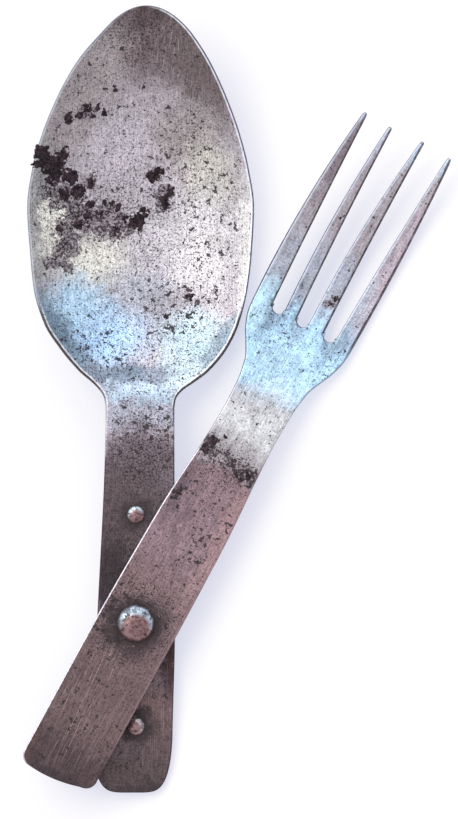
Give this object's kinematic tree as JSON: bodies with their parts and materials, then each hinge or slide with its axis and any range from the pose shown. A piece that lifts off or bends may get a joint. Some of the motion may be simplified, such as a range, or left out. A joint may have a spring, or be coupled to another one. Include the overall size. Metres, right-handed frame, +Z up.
{
  "type": "folding spoon and fork set",
  "caption": "Worn steel field cutlery: a tined fork riveted by its handle to a deep pointed spoon's handle, so that it swings over the bowl.",
  "frame": {"origin": "on the table under the middle of the whole set's box", "axes": "+Z up from the table, +Y along the spoon from its handle to the bowl's tip, the fork on the +X side"},
  "size_m": [0.0874, 0.1612, 0.0188],
  "materials": {
    "spoon_steel": "worn, pitted and rust-spotted bare steel, brown-grey handle, paler bowl",
    "fork_steel": "worn bare steel, scratched brown-grey handle, pale palm and tines",
    "rivet_steel": "worn domed steel, dirt at the foot",
    "washer_steel": "dull dirty steel"
  },
  "bodies": {
    "spoon_body": {"spoon": "spoon_steel", "pivot_rivet": "rivet_steel", "upper_stud": "rivet_steel", "lower_stud": "rivet_steel", "pivot_washer": "washer_steel"},
    "fork_body": {"fork": "fork_steel"}
  },
  "joints": [
    {"name": "fork_swing", "type": "hinge", "parent": "spoon_body", "child": "fork_body", "pos_m": [-0.02111, -0.04602, 0.00645], "axis": [-0.2335, 0.1131, -0.9658], "range_deg": [-29.4, 150.6]}
  ]
}
